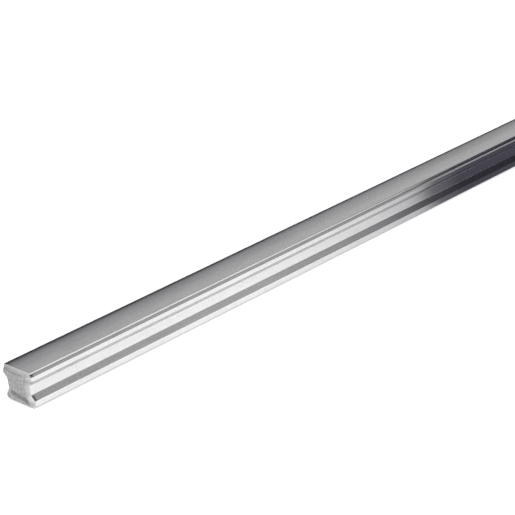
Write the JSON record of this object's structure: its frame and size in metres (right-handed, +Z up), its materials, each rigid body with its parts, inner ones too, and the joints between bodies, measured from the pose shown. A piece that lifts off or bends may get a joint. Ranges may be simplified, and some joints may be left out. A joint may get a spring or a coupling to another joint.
{
  "type": "roller guide rail",
  "caption": "Straight ground steel roller guide rail with a waisted section, inclined raceways, counterbored screw holes and a clip-on cover strip.",
  "frame": {"origin": "on the mounting face under the middle of the rail", "axes": "+X along the rail, away from the end that the picture shows; +Y across the rail; +Z up from the mounting face to the cover strip"},
  "size_m": [0.836, 0.045, 0.0391],
  "materials": {
    "ground_steel": "hardened and ground bright",
    "strip_steel": "cold rolled spring steel, satin"
  },
  "bodies": {
    "rail": {"guide_rail": "ground_steel"},
    "strip": {"cover_strip": "strip_steel"}
  },
  "joints": [
    {"name": "strip_slide", "type": "slide", "parent": "rail", "child": "strip", "axis": [1, 0, 0], "range_m": [0, 0.84]}
  ]
}
